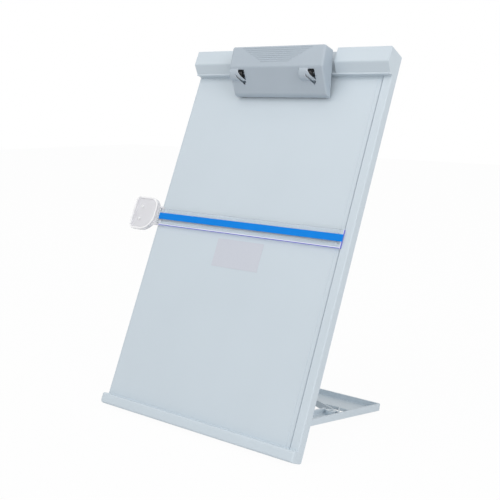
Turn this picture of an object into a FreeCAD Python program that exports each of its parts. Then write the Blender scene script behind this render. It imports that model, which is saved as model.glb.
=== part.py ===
import FreeCAD, Part
import math
import os
import Sketcher

# A desktop copy holder: a leaning board with a sprung clip, a sliding line guide and a folding stand.
# Lengths are millimetres, angles are degrees. The board's own axes are X along its width from the
# middle, Y up the face from the bottom edge, and Z outward from the face.

doc = FreeCAD.newDocument("CopyHolder")
sheet = doc.addObject("Spreadsheet::Sheet", "Sizes")

SIZES = {
    # Board
    "boardWide": 240,
    "boardHigh": 399,
    "boardThick": 9,
    "panelThick": 2.4,
    "wallThick": 2.2,
    "leanAngle": 24.3,
    "restFlatDeep": 0.9,
    "ledgeHigh": 10.8,
    "ledgeReach": 7.4,
    "ledgeOver": 2,
    "rimWide": 9.1,
    "rimRise": 1.5,
    "rimGrooveWide": 1.1,
    "rimGrooveDeep": 1.6,
    "rimStepWide": 4.5,
    "rimStepDeep": 0.3,
    "edgeRebateWide": 2.6,
    "edgeRebateDeep": 0.8,
    # Header across the top of the board, drops measured from the board's top edge
    "headerFootDrop": 24.6,
    "headerFootRise": 5.6,
    "headerRidgeDrop": 16.4,
    "headerRidgeRise": 15.1,
    "headerTopRise": 14.6,
    "beadHigh": 1.4,
    "beadRise": 0.8,
    "clipSideGap": 2.4,
    # Clip, drops measured from the board's top edge and rises from its face
    "clipWide": 115.4,
    "clipWall": 2.2,
    "clipTopFrontDrop": 5.7,
    "clipTopFrontRise": 32.2,
    "clipTopBackDrop": 3.9,
    "clipTopBackRise": 18.6,
    "clipRidgeDrop": 28,
    "clipRidgeRise": 29.7,
    "jawFrontDrop": 49.5,
    "jawFrontRise": 8.2,
    "jawBackDrop": 49.1,
    "jawBackRise": 1.7,
    "pivotDrop": 31.2,
    "pivotRise": 21.3,
    "jawPadInset": 5.5,
    "jawPadWide": 2,
    "jawPadToe": 0.3,
    "paperGap": 0.1,
    # Spring housings of the clip, each a half barrel over its pin with a slanting mouth on its right.
    # Mouth and slot places are from the hood's left end and from the pin
    "leftHoodInset": 2.2,
    "rightHoodInset": 26.7,
    "hoodLong": 16.8,
    "hoodOuter": 7.7,
    "hoodWall": 1.5,
    "hoodLip": 1.5,
    "hoodInnerUp": 3.7,
    "hoodInnerOut": 4.7,
    "mouthTopAcross": 9.4,
    "mouthHighAcross": 10.2,
    "mouthHighDrop": 1.2,
    "mouthLowAcross": 12.9,
    "mouthLowDrop": 4.4,
    "mouthEndDrop": 7,
    "slotIn": 7.5,
    "slotOut": 14.5,
    "slotDrop": 10.4,
    "slotOpen": 1.8,
    "cheekThick": 1.5,
    "cheekDeep": 4.2,
    "windowBelow": 5.5,
    "windowAbove": 1.4,
    # Brackets on the board, pins and springs of the clip
    "pinRadius": 1.5,
    "pinFit": 0.05,
    "sideGap": 0.4,
    "bracketThick": 3.4,
    "bracketRing": 3.6,
    "bracketFoot": 6.3,
    "bracketFootReach": 8,
    "springWire": 1.2,
    "springRadius": 3.6,
    "springPitch": 1.75,
    "springTurns": 2.875,
    "springLeg": 12.9,
    "pinTail": 1.2,
    # Slider on the left edge of the board
    "knobFar": 36.8,
    "knobNear": 4.5,
    "knobBottom": 190.7,
    "knobTop": 227.8,
    "knobPlate": 2.5,
    "knobHigh": 3.5,
    "knobShell": 2,
    "knobSmallRound": 3.5,
    "knobUpperRound": 11,
    "knobLowerRound": 18,
    "knobFlangeThick": 2.2,
    "knobFlangeRise": 1.6,
    "knobFlangeEnd": 4.1,
    "jawLift": 0.3,
    "jawThick": 1,
    "jawReach": 5,
    "jawRoot": 12,
    "jawBottom": 197.6,
    "jawTop": 218.8,
    "webThick": 2,
    "webBottom": 199,
    "webTop": 217,
    "lipThick": 1.8,
    "hookThick": 1.1,
    "hookHigh": 1.5,
    "padThick": 1.1,
    "padInset": 2.5,
    "rivetShank": 1.1,
    "rivetHead": 1.9,
    "rivetHeadThick": 0.5,
    "rivetInset": 27,
    "upperRivetUp": 216.8,
    "lowerRivetUp": 202.4,
    # Guide strip and its hinge
    "stripBottom": 198.2,
    "stripTop": 216.6,
    "stripEndInset": 8.2,
    "stripThick": 1.4,
    "stripLift": 0.1,
    "notchWide": 3.2,
    "blueBottom": 204.9,
    "blueTop": 212,
    "blueThick": 0.1,
    "hingeAcross": 0.7,
    "hingeRise": 2.8,
    "barrelRadius": 1.1,
    "hingePinRadius": 0.55,
    "lugHalf": 1.7,
    "lugThick": 2,
    "lugAbove": 1.5,
    # Label
    "labelWide": 57.6,
    "labelAside": 3.5,
    "labelBottom": 163.6,
    "labelTop": 193,
    "labelThick": 0.2,
    # Stand hinge
    "standHingeUp": 36,
    "standHingeDeep": 6,
    "earThick": 3,
    "earHalf": 4.5,
    "knuckleInset": 13.7,
    "knuckleWide": 4.9,
    "knuckleRadius": 3.3,
    "washerThick": 0.8,
    "washerRadius": 2.9,
    "washerPlay": 0.05,
    "standPinHead": 2.8,
    "standPinHeadThick": 0.8,
    # Stand frame, along its length from the hinge
    "standRoom": 5,
    "standLong": 152,
    "standStart": 6.2,
    "standWall": 2.2,
    "standFloor": 2,
    "standBelow": 4.2,
    "standTopRear": 3.3,
    "standTopFront": 2,
    "ribTop": 2.6,
    "ribThick": 2.2,
    "armWide": 21,
    "flangeWide": 47.5,
    "armEndGap": 34.5,
    "braceRun": 59.5,
    "braceBite": 0.4,
    "braceReach": 39,
    "strutStart": 22.5,
    "strutEnd": 3.5,
    "bossInset": 11.5,
    "bossGap": 38,
    "bossRadius": 5.2,
    "bossHole": 2.2,
    "cornerRound": 2,
    # Rubber feet of the stand
    "footInset": 17,
    "footWide": 22,
    "footRearGap": 4,
    "footHalf": 3.5,
    "footDrop": 5.1,
    # Overrun of every cut
    "overrun": 3,
}


class Size:
    # A number together with the expression that gives it from the spreadsheet
    def __init__(self, number, text):
        self.number = float(number)
        self.text = text

    def joined(self, other, sign, number):
        text = other.text if isinstance(other, Size) else str(other)
        return Size(number, f"({self.text} {sign} {text})")

    def __add__(self, other):
        return self.joined(other, "+", self.number + plain(other))

    def __sub__(self, other):
        return self.joined(other, "-", self.number - plain(other))

    def __mul__(self, other):
        return self.joined(other, "*", self.number * plain(other))

    def __truediv__(self, other):
        return self.joined(other, "/", self.number / plain(other))

    def __neg__(self):
        return Size(-self.number, f"(-1 * {self.text})")


def plain(value):
    return value.number if isinstance(value, Size) else float(value)


def sine(angle):
    return Size(math.sin(math.radians(angle.number)), f"sin({angle.text} * 1 deg)")


def cosine(angle):
    return Size(math.cos(math.radians(angle.number)), f"cos({angle.text} * 1 deg)")


def tangent(angle):
    return Size(math.tan(math.radians(angle.number)), f"tan({angle.text} * 1 deg)")


def arcsine(share):
    return Size(math.degrees(math.asin(share.number)), f"(asin({share.text}) / 1 deg)")


def arctangent(share):
    return Size(math.degrees(math.atan(share.number)), f"(atan({share.text}) / 1 deg)")


def root(value):
    return Size(math.sqrt(value.number), f"sqrt({value.text})")


class Named:
    pass


def read_sizes():
    named = Named()
    for row, (name, value) in enumerate(SIZES.items(), 1):
        sheet.set(f"A{row}", name)
        sheet.set(f"B{row}", str(value))
        sheet.setAlias(f"B{row}", name)
    doc.recompute()
    for name in SIZES:
        setattr(named, name, Size(getattr(sheet, name), f"Sizes.{name}"))
    return named


d = read_sizes()
ZERO = Size(0, "0")

# Places shared by several pieces
halfBoard = d.boardWide / 2
boardBack = -d.boardThick
panelBack = -d.panelThick
headerFoot = d.boardHigh - d.headerFootDrop
pivotUp = d.boardHigh - d.pivotDrop
hingeAcross = d.hingeAcross - halfBoard
leftHood = d.leftHoodInset - d.clipWide / 2
rightHood = d.clipWide / 2 - d.rightHoodInset
bottomPlay = d.restFlatDeep / cosine(d.leanAngle)
frontPlay = d.restFlatDeep / sine(d.leanAngle)

# Board placement: its cut bottom corner rests on the floor, with the middle of that flat at the origin
boardTurn = Size(90, "90") - d.leanAngle
boardForward = (d.restFlatDeep / tangent(d.leanAngle) - d.restFlatDeep * tangent(d.leanAngle)) / 2
boardForward = boardForward - d.boardThick * cosine(d.leanAngle)
boardLift = d.boardThick * sine(d.leanAngle) - d.restFlatDeep

# Stand placement: its hinge line behind the board, and the tilt that brings its feet to the floor
hingeForward = boardForward + d.standHingeUp * sine(d.leanAngle)
hingeForward = hingeForward + d.standHingeDeep * cosine(d.leanAngle)
hingeLift = boardLift + d.standHingeUp * cosine(d.leanAngle)
hingeLift = hingeLift - d.standHingeDeep * sine(d.leanAngle)
halfStand = halfBoard - d.standRoom
knuckleIn = halfStand - d.knuckleInset
knuckleOut = knuckleIn + d.knuckleWide
earGap = d.washerThick + d.washerPlay * 2
footAlong = d.standLong - d.footRearGap
footReach = root(footAlong * footAlong + d.footDrop * d.footDrop)
standTilt = arcsine(hingeLift / footReach) - arctangent(d.footDrop / footAlong)


def bind(piece, name, size):
    piece.setExpression(name, size.text)


def new_body(label):
    body = doc.addObject("PartDesign::Body", label)
    body.Label = label
    return body


def seat(piece, forward, lift, turn):
    piece.Placement = FreeCAD.Placement(
        FreeCAD.Vector(0, forward.number, lift.number),
        FreeCAD.Rotation(FreeCAD.Vector(1, 0, 0), turn.number))
    bind(piece, "Placement.Base.y", forward)
    bind(piece, "Placement.Base.z", lift)
    bind(piece, "Placement.Rotation.Angle", turn * Size(1, "1 deg"))


def on_board(piece):
    seat(piece, boardForward, boardLift, boardTurn)


def on_stand(piece):
    seat(piece, hingeForward, hingeLift, -standTilt)


def sketch_on(body, role, offset):
    sketch = body.newObject("Sketcher::SketchObject", "Outline")
    plane = [feature for feature in body.Origin.OriginFeatures if feature.Role == role][0]
    sketch.AttachmentSupport = [(plane, "")]
    sketch.MapMode = "FlatFace"
    sketch.AttachmentOffset = FreeCAD.Placement(FreeCAD.Vector(0, 0, offset.number), FreeCAD.Rotation())
    bind(sketch, "AttachmentOffset.Base.z", offset)
    return sketch


def outline(body, role, points, offset=ZERO):
    # A closed outline of straight sides, each corner held by two distances from the sketch origin
    sketch = sketch_on(body, role, offset)
    count = len(points)
    for index in range(count):
        start = points[index]
        end = points[(index + 1) % count]
        sketch.addGeometry(Part.LineSegment(
            FreeCAD.Vector(start[0].number, start[1].number, 0),
            FreeCAD.Vector(end[0].number, end[1].number, 0)), False)
    for index in range(count):
        sketch.addConstraint(Sketcher.Constraint("Coincident", index, 2, (index + 1) % count, 1))
    for index, point in enumerate(points):
        for kind, size in zip(("DistanceX", "DistanceY"), point):
            row = sketch.addConstraint(Sketcher.Constraint(kind, -1, 1, index, 1, size.number))
            bind(sketch, f"Constraints[{row}]", size)
    return sketch


def pad(body, sketch, length, middle=False):
    piece = body.newObject("PartDesign::Pad", "Pad")
    piece.Profile = sketch
    piece.Midplane = middle
    bind(piece, "Length", length)
    return piece


def cut(body, sketch, length, middle=False):
    # A cut starts at the sketch and goes the way a pad of the same sketch would
    doc.recompute()
    before = body.Shape.Volume
    piece = body.newObject("PartDesign::Pocket", "Cut")
    piece.Profile = sketch
    piece.Midplane = middle
    piece.Reversed = not middle
    bind(piece, "Length", length)
    doc.recompute()
    assert body.Shape.Volume < before, f"{body.Label}: a cut removes nothing"
    return piece


def block(body, across, along, outward, removes=False):
    before = volume_of(body) if removes else 0
    kind = "PartDesign::SubtractiveBox" if removes else "PartDesign::AdditiveBox"
    piece = body.newObject(kind, "Block")
    for name, base, span in zip(("Length", "Width", "Height"), "xyz", (across, along, outward)):
        bind(piece, name, span[1] - span[0])
        bind(piece, f"Placement.Base.{base}", span[0])
    check_removed(body, before, removes)
    return piece


TURNS = {
    "X": FreeCAD.Rotation(FreeCAD.Vector(0, 1, 0), 90),
    "Y": FreeCAD.Rotation(FreeCAD.Vector(1, 0, 0), -90),
    "Z": FreeCAD.Rotation(),
}


def rod(body, place, radius, length, axis, removes=False):
    before = volume_of(body) if removes else 0
    kind = "PartDesign::SubtractiveCylinder" if removes else "PartDesign::AdditiveCylinder"
    piece = body.newObject(kind, "Rod")
    piece.Placement = FreeCAD.Placement(FreeCAD.Vector(0, 0, 0), TURNS[axis])
    bind(piece, "Radius", radius)
    bind(piece, "Height", length)
    for base, size in zip("xyz", place):
        bind(piece, f"Placement.Base.{base}", size)
    check_removed(body, before, removes)
    return piece


def volume_of(body):
    doc.recompute()
    return body.Shape.Volume


def check_removed(body, before, removes):
    if removes:
        assert volume_of(body) < before, f"{body.Label}: a cut removes nothing"


def round_edges(body, radius, wanted):
    # Rounds the straight edges of the body's last feature whose middle lies where wanted says
    doc.recompute()
    last = body.Tip
    names = []
    for index, edge in enumerate(last.Shape.Edges, 1):
        middle = edge.CenterOfMass
        ends = [vertex.Point for vertex in edge.Vertexes]
        if len(ends) == 2 and wanted(middle, ends[1] - ends[0]):
            names.append(f"Edge{index}")
    assert names, f"{body.Label}: no edge to round"
    piece = body.newObject("PartDesign::Fillet", "Round")
    piece.Base = (last, names)
    bind(piece, "Radius", radius)
    return piece


def near(value, size, tolerance=1e-4):
    return abs(value - size.number) < tolerance * max(abs(size.number), d.boardThick.number)


def mirrored(span):
    return (-span[1], -span[0])


def header_outline(top_play):
    return [
        (headerFoot, ZERO),
        (headerFoot, d.headerFootRise),
        (d.boardHigh - d.headerRidgeDrop, d.headerRidgeRise),
        (d.boardHigh, d.headerTopRise),
        (d.boardHigh, top_play),
    ]


def board_side_outline():
    return [
        (ZERO, boardBack),
        (ZERO, d.ledgeReach),
        (d.ledgeHigh, d.ledgeReach),
        (d.ledgeHigh, ZERO),
    ] + header_outline(boardBack)


def board_hollow_outline():
    # The back is open; the hollow also reaches into the ledge and under the plain part of the header
    behind = boardBack - d.overrun
    under_header = d.headerFootRise - d.wallThick
    return [
        (d.wallThick, behind),
        (d.wallThick, d.ledgeReach - d.wallThick),
        (d.ledgeHigh - d.wallThick, d.ledgeReach - d.wallThick),
        (d.ledgeHigh - d.wallThick, panelBack),
        (headerFoot + d.wallThick, panelBack),
        (headerFoot + d.wallThick, under_header),
        (d.boardHigh - d.wallThick, under_header),
        (d.boardHigh - d.wallThick, behind),
    ]


def header_hollow_outline():
    return [
        (headerFoot + d.wallThick, panelBack),
        (headerFoot + d.wallThick, d.headerFootRise - d.wallThick / 2),
        (d.boardHigh - d.headerRidgeDrop + d.wallThick / 2, d.headerRidgeRise - d.wallThick),
        (d.boardHigh - d.wallThick, d.headerTopRise - d.wallThick),
        (d.boardHigh - d.wallThick, panelBack),
    ]


def rest_flat_outline():
    # The horizontal flat under the back bottom corner, its ends run out past the walls
    return [
        (bottomPlay * 2, boardBack - frontPlay),
        (-bottomPlay, boardBack + frontPlay * 2),
        (-bottomPlay, boardBack - frontPlay),
    ]


def bracket_outline():
    return [
        (pivotUp - d.bracketFoot, -d.panelThick / 2),
        (pivotUp - d.bracketFoot, d.bracketFootReach),
        (pivotUp - d.bracketRing, d.pivotRise),
        (pivotUp + d.bracketRing, d.pivotRise),
        (pivotUp + d.bracketFoot, d.bracketFootReach),
        (pivotUp + d.bracketFoot, -d.panelThick / 2),
    ]


def bracket_start(hood_start):
    return hood_start + d.cheekThick + d.sideGap


def coil_start(hood_start):
    web = bracket_start(hood_start) + d.bracketThick + d.sideGap + d.cheekThick
    return web + d.sideGap + d.springWire / 2


def inner_ear():
    return (knuckleIn - earGap - d.earThick, knuckleIn - earGap)


def outer_ear():
    return (knuckleOut + earGap, knuckleOut + earGap + d.earThick)


def make_backboard():
    body = new_body("backboard")
    pad(body, outline(body, "YZ_Plane", board_side_outline()), d.boardWide, middle=True)
    inner_wide = d.boardWide - d.wallThick * 2
    cut(body, outline(body, "YZ_Plane", board_hollow_outline()), inner_wide, middle=True)
    half_gap = d.clipWide / 2 + d.clipSideGap
    header_high = (headerFoot - d.overrun, d.boardHigh + d.overrun)
    block(body, (-half_gap, half_gap), header_high,
          (d.headerFootRise, d.headerRidgeRise + d.overrun), removes=True)
    pocket_wide = halfBoard - half_gap - d.wallThick * 2
    for start in (half_gap + d.wallThick, -halfBoard + d.wallThick):
        cut(body, outline(body, "YZ_Plane", header_hollow_outline(), start), pocket_wide)
    bead_high = (headerFoot - d.beadHigh / 2, headerFoot + d.beadHigh / 2)
    bead_out = (d.headerFootRise - d.beadHigh / 2, d.headerFootRise + d.beadRise)
    block(body, (-halfBoard, halfBoard), bead_high, bead_out)
    block(body, (halfBoard - d.rimWide, halfBoard), (d.ledgeHigh, headerFoot), (-d.panelThick / 2, d.rimRise))
    block(body, (-halfBoard - d.ledgeOver, d.wallThick - halfBoard), (ZERO, d.ledgeHigh),
          (panelBack, d.ledgeReach))
    groove = (halfBoard - d.rimWide - d.rimGrooveWide, halfBoard - d.rimWide)
    face_high = (d.ledgeHigh, headerFoot)
    block(body, groove, face_high, (-d.rimGrooveDeep, d.overrun), removes=True)
    block(body, (groove[0] - d.rimStepWide, groove[0]), face_high, (-d.rimStepDeep, d.overrun), removes=True)
    block(body, (-halfBoard - d.overrun, d.edgeRebateWide - halfBoard), face_high,
          (-d.edgeRebateDeep, d.overrun), removes=True)
    for start in (leftHood, rightHood):
        offset = bracket_start(start)
        pad(body, outline(body, "YZ_Plane", bracket_outline(), offset), d.bracketThick)
        rod(body, (offset, pivotUp, d.pivotRise), d.bracketRing, d.bracketThick, "X")
        rod(body, (offset - d.overrun, pivotUp, d.pivotRise), d.pinRadius + d.pinFit,
            d.bracketThick + d.overrun * 2, "X", removes=True)
    ear_high = (d.standHingeUp - d.earHalf, d.standHingeUp + d.earHalf)
    for span in (inner_ear(), outer_ear()):
        for place in (span, mirrored(span)):
            block(body, place, ear_high, (boardBack, panelBack))
            rod(body, (place[0] - d.pinFit, d.standHingeUp, -d.standHingeDeep), d.pinRadius + d.pinFit,
                d.earThick + d.pinFit * 2, "X", removes=True)
    flat = outline(body, "YZ_Plane", rest_flat_outline())
    cut(body, flat, d.boardWide + d.overrun * 2, middle=True)
    on_board(body)
    return body


def make_label():
    label = new_body("blank_label")
    across = (-d.labelAside - d.labelWide / 2, d.labelWide / 2 - d.labelAside)
    block(label, across, (d.labelBottom, d.labelTop), (ZERO, d.labelThick))
    on_board(label)
    return label


def clip_outline():
    return [
        (d.boardHigh - d.clipTopBackDrop, d.clipTopBackRise),
        (d.boardHigh - d.clipTopFrontDrop, d.clipTopFrontRise),
        (d.boardHigh - d.clipRidgeDrop, d.clipRidgeRise),
        (d.boardHigh - d.jawFrontDrop, d.jawFrontRise),
        (d.boardHigh - d.jawBackDrop, d.jawBackRise),
    ]


def face_nearest(shape, aim):
    faces = shape.Faces
    best = min(range(len(faces)), key=lambda index: faces[index].CenterOfMass.distanceToPoint(aim))
    return f"Face{best + 1}"


def open_shell(body, wall, face):
    # Hollows the body to an even wall, open at the given face
    solid = body.Tip
    shell = body.newObject("PartDesign::Thickness", "Shell")
    shell.Base = (solid, [face])
    bind(shell, "Value", wall)
    shell.Join = 1
    shell.Reversed = True


def make_clip():
    body = new_body("clip_body")
    pad(body, outline(body, "YZ_Plane", clip_outline()), d.clipWide, middle=True)
    doc.recompute()
    top_back = clip_outline()[0]
    jaw_back = clip_outline()[4]
    middle_up = (top_back[0] + jaw_back[0]) / 2
    middle_out = (top_back[1] + jaw_back[1]) / 2
    aim = FreeCAD.Vector(0, middle_up.number, middle_out.number)
    open_shell(body, d.clipWall, face_nearest(body.Tip.Shape, aim))
    for start in (leftHood, rightHood):
        add_hood(body, start)
    on_board(body)
    return body


def window_outline(start):
    # The window in the lower slope, with the slot under the hood's mouth
    end = start + d.hoodLong
    return [
        (start + d.cheekThick, pivotUp + d.windowAbove),
        (start + d.cheekThick, pivotUp - d.windowBelow),
        (start + d.slotIn, pivotUp - d.windowBelow),
        (start + d.slotOut, pivotUp - d.slotDrop),
        (end, pivotUp - d.hoodOuter),
        (end, pivotUp + d.windowAbove),
    ]


def mouth_outline(start):
    # The slanting, bent edge of the hood's mouth, closed along its right end
    end = start + d.hoodLong
    return [
        (start + d.mouthTopAcross, pivotUp + d.windowAbove),
        (start + d.mouthHighAcross, pivotUp - d.mouthHighDrop),
        (start + d.mouthLowAcross, pivotUp - d.mouthLowDrop),
        (end, pivotUp - d.mouthEndDrop),
        (end, pivotUp + d.windowAbove),
    ]


def slot_outline(start):
    # The slot's run through the foot of the barrel
    return [
        (start + d.slotIn, pivotUp - d.windowBelow),
        (start + d.slotOut, pivotUp - d.slotDrop),
        (start + d.slotOut, pivotUp - d.slotDrop + d.slotOpen),
        (start + d.slotIn, pivotUp - d.windowBelow + d.slotOpen),
    ]


def bulge_outline():
    # Whatever stands proud of the lower slope between the window's top and the ridge
    ridge = clip_outline()[2]
    jaw = clip_outline()[3]
    low = pivotUp + d.windowAbove
    low_out = ridge[1] - (ridge[0] - low) * (ridge[1] - jaw[1]) / (ridge[0] - jaw[0])
    return [(low, low_out), ridge, (ridge[0], ridge[1] + d.hoodOuter), (low, low_out + d.hoodOuter)]


def add_hood(body, start):
    # A window in the lower slope, with a half barrel from the ridge over it and two webs on the pin
    out_high = d.clipTopFrontRise + d.overrun
    cut(body, outline(body, "XY_Plane", window_outline(start), d.jawFrontRise), out_high)
    rod(body, (start, pivotUp, d.pivotRise), d.hoodOuter, d.hoodLong, "X")
    inside = (start + d.cheekThick, start + d.hoodLong)
    inner = d.hoodOuter - d.hoodWall
    rod(body, (inside[0], pivotUp, d.pivotRise), inner, d.hoodLong - d.cheekThick, "X", removes=True)
    behind = d.pivotRise - d.hoodOuter - d.overrun
    barrel_high = (pivotUp - inner, pivotUp + d.hoodOuter + d.overrun)
    block(body, inside, barrel_high, (behind, d.pivotRise - d.hoodLip), removes=True)
    block(body, inside, (pivotUp + d.hoodInnerUp, barrel_high[1]),
          (behind, d.pivotRise + d.hoodInnerOut), removes=True)
    cut(body, outline(body, "XY_Plane", mouth_outline(start), behind), out_high)
    cut(body, outline(body, "XY_Plane", slot_outline(start), behind), out_high)
    mouth = start + d.mouthTopAcross
    cut(body, outline(body, "YZ_Plane", bulge_outline(), mouth), d.hoodLong - d.mouthTopAcross)
    web = bracket_start(start) + d.bracketThick + d.sideGap
    rod(body, (web, pivotUp, d.pivotRise), d.hoodOuter - d.hoodWall / 2, d.cheekThick, "X")
    block(body, (start, inside[1]), barrel_high, (behind, d.pivotRise - d.cheekDeep), removes=True)
    rod(body, (start, pivotUp, d.pivotRise), d.pinRadius + d.pinFit, d.hoodLong, "X", removes=True)


def make_jaw_pad():
    top_back = clip_outline()[0]
    jaw_back = clip_outline()[4]
    seat_slope = (top_back[1] - jaw_back[1]) / (top_back[0] - jaw_back[0])
    seat_up = jaw_back[0] + d.jawPadWide
    seat_out = jaw_back[1] + seat_slope * d.jawPadWide
    points = [
        jaw_back,
        (seat_up, seat_out),
        (seat_up, d.paperGap),
        (jaw_back[0] + d.jawPadToe, d.paperGap),
    ]
    body = new_body("jaw_pad")
    pad(body, outline(body, "YZ_Plane", points), d.clipWide - d.jawPadInset * 2, middle=True)
    on_board(body)
    return body


def pin_end(hood_start):
    return coil_start(hood_start) + d.springPitch * d.springTurns + d.pinTail


def make_clip_pin(label, hood_start):
    body = new_body(label)
    start = hood_start + d.pinFit
    rod(body, (start, pivotUp, d.pivotRise), d.pinRadius, pin_end(hood_start) - start, "X")
    on_board(body)
    return body


def biarc(start, start_way, end, end_way):
    # Two tangent arcs from start to end that leave and arrive along the given directions
    chord = end - start
    ways = start_way + end_way
    square = 2 * (1 - start_way.dot(end_way))
    along = chord.dot(ways)
    reach = (math.sqrt(along * along + square * chord.dot(chord)) - along) / square
    first = start + start_way * reach
    second = end - end_way * reach
    joint = (first + second) * 0.5
    return [arc_through(start, first, joint), arc_through(joint, second, end)]


def arc_through(start, corner, end):
    middle = (start + end) * 0.5
    half = (end - start).Length / 2
    height = (corner - middle).Length
    sagitta = half * math.tan(math.atan2(height, half) / 2)
    top = middle + (corner - middle) * (sagitta / height)
    return Part.Arc(start, top, end).toShape()


def spring_route(hood_start):
    # The coil winds about the pin; one leg stands on the board, the other lies behind the clip's top
    radius = d.springRadius.number
    pitch = d.springPitch.number
    turns = d.springTurns.number
    first = coil_start(hood_start).number
    climb = pitch / (2 * math.pi)

    def place(angle):
        return FreeCAD.Vector(first + climb * angle, pivotUp.number + radius * math.cos(angle),
                              d.pivotRise.number + radius * math.sin(angle))

    def way(angle):
        return FreeCAD.Vector(climb, -radius * math.sin(angle), radius * math.cos(angle)).normalize()

    steps = math.ceil(turns * 4)
    angles = [2 * math.pi * turns * step / steps for step in range(steps + 1)]
    flat_out = FreeCAD.Vector(0, 0, 1)
    last_way = way(angles[-1])
    last_way.x = 0
    last_way.normalize()
    ways = [flat_out] + [way(angle) for angle in angles[1:-1]] + [last_way]
    edges = []
    foot = FreeCAD.Vector(place(0).x, place(0).y, 0)
    edges.append(Part.LineSegment(foot, place(0)).toShape())
    for index in range(steps):
        edges += biarc(place(angles[index]), ways[index], place(angles[index + 1]), ways[index + 1])
    tip = place(angles[-1]) + last_way * d.springLeg.number
    edges.append(Part.LineSegment(place(angles[-1]), tip).toShape())
    return edges


def least_gap(edges, wire_wide):
    # Least distance between points of the route that lie more than half a turn apart, less the wire
    points = []
    for edge in edges:
        count = max(2, int(edge.Length / (wire_wide / 4)))
        points += [point for point in edge.discretize(count)][:-1]
    apart = int(math.pi * d.springRadius.number / (wire_wide / 4))
    least = min((points[i] - points[j]).Length
                for i in range(len(points)) for j in range(i + apart, len(points)))
    return least - wire_wide


def make_clip_spring(label, hood_start):
    edges = spring_route(hood_start)
    route = Part.Wire(edges)
    start = route.OrderedVertexes[0].Point
    section = Part.Wire([Part.Circle(start, FreeCAD.Vector(0, 0, 1), d.springWire.number / 2).toShape()])
    shell = Part.BRepOffsetAPI.MakePipeShell(route)
    shell.add(section, False, False)
    shell.build()
    shell.makeSolid()
    solid = shell.shape()
    if solid.Volume < 0:
        solid.reverse()
    expected = math.pi * (d.springWire.number / 2) ** 2 * route.Length
    gap = least_gap(edges, d.springWire.number)
    print(f"{label}: least gap to itself {gap:.2f} mm, volume share {solid.Volume / expected:.4f}")
    spring = doc.addObject("Part::Feature", label)
    spring.Label = label
    spring.Shape = solid
    on_board(spring)
    return spring


def knob_plate(body, outward):
    # The knob is nearly square on its far side and round towards the board
    far = -halfBoard - d.knobFar
    close = -halfBoard - d.knobNear
    block(body, (far, close), (d.knobBottom, d.knobTop), outward)
    corners = (
        (far, d.knobBottom, d.knobSmallRound),
        (far, d.knobTop, d.knobSmallRound),
        (close, d.knobTop, d.knobUpperRound),
        (close, d.knobBottom, d.knobLowerRound),
    )
    for across, along, radius in corners:
        round_edges(body, radius, lambda middle, way: near(middle.x, across) and near(middle.y, along))


frontFace = d.jawLift + d.knobShell


def knob_middle(level):
    across = -halfBoard - (d.knobFar + d.knobNear) / 2
    return FreeCAD.Vector(across.number, (d.knobBottom + d.knobTop).number / 2, level.number)


def make_slider_front():
    body = new_body("slider_front")
    top = d.jawLift + d.knobHigh
    knob_plate(body, (d.jawLift, top))
    doc.recompute()
    open_shell(body, d.knobShell, face_nearest(body.Tip.Shape, knob_middle(top)))
    block(body, (-halfBoard - d.knobFar, -halfBoard - d.knobFar + d.knobFlangeThick),
          (d.knobBottom + d.knobFlangeEnd, d.knobTop - d.knobFlangeEnd),
          (d.jawLift, top + d.knobFlangeRise))
    block(body, (-halfBoard - d.jawRoot, d.jawReach - halfBoard), (d.jawBottom, d.jawTop),
          (d.jawLift, d.jawLift + d.jawThick))
    for low, high in lug_spans():
        block(body, (hingeAcross - d.lugHalf, hingeAcross + d.lugHalf), (low, high),
              (d.jawLift, d.hingeRise + d.lugAbove))
        rod(body, (hingeAcross, low - d.pinFit, d.hingeRise), d.hingePinRadius + d.pinFit,
            d.lugThick + d.pinFit * 2, "Y", removes=True)
    rivet_holes(body, d.jawLift, top)
    on_board(body)
    return body


def lug_spans():
    return (
        (d.jawTop - d.lugThick, d.jawTop),
        (d.jawBottom + d.sideGap, d.jawBottom + d.sideGap + d.lugThick),
    )


def rivet_holes(body, low, high):
    for along in (d.upperRivetUp, d.lowerRivetUp):
        rod(body, (-halfBoard - d.rivetInset, along, low - d.overrun), d.rivetShank + d.pinFit,
            high - low + d.overrun * 2, "Z", removes=True)


def make_slider_back():
    body = new_body("slider_back")
    low = d.jawLift - d.knobPlate
    knob_plate(body, (low, d.jawLift))
    edge_gap = d.jawLift
    web_high = (d.webBottom, d.webTop)
    lip_top = boardBack - d.padThick
    block(body, (-halfBoard - d.jawRoot, -halfBoard - edge_gap), web_high, (low, d.jawLift))
    block(body, (-halfBoard - edge_gap - d.webThick, -halfBoard - edge_gap), web_high,
          (lip_top - d.lipThick, low))
    hook_start = d.wallThick + edge_gap - halfBoard
    block(body, (-halfBoard - edge_gap - d.webThick, hook_start + d.hookThick), web_high,
          (lip_top - d.lipThick, lip_top))
    block(body, (hook_start, hook_start + d.hookThick), web_high,
          (lip_top, boardBack + d.hookHigh))
    rivet_holes(body, low, d.jawLift)
    on_board(body)
    return body


def make_slider_rivets():
    body = doc.addObject("Part::Compound", "slider_rivets")
    body.Label = "slider_rivets"
    rivets = []
    low = d.jawLift - d.knobPlate
    for along in (d.upperRivetUp, d.lowerRivetUp):
        shank = plain_rod((-halfBoard - d.rivetInset, along, low), d.rivetShank, frontFace - low)
        head = plain_rod((-halfBoard - d.rivetInset, along, frontFace), d.rivetHead, d.rivetHeadThick)
        tail = plain_rod((-halfBoard - d.rivetInset, along, low - d.rivetHeadThick), d.rivetHead,
                         d.rivetHeadThick)
        rivet = doc.addObject("Part::MultiFuse", "Rivet")
        rivet.Shapes = [shank, head, tail]
        rivets.append(rivet)
    body.Links = rivets
    on_board(body)
    return body


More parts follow.
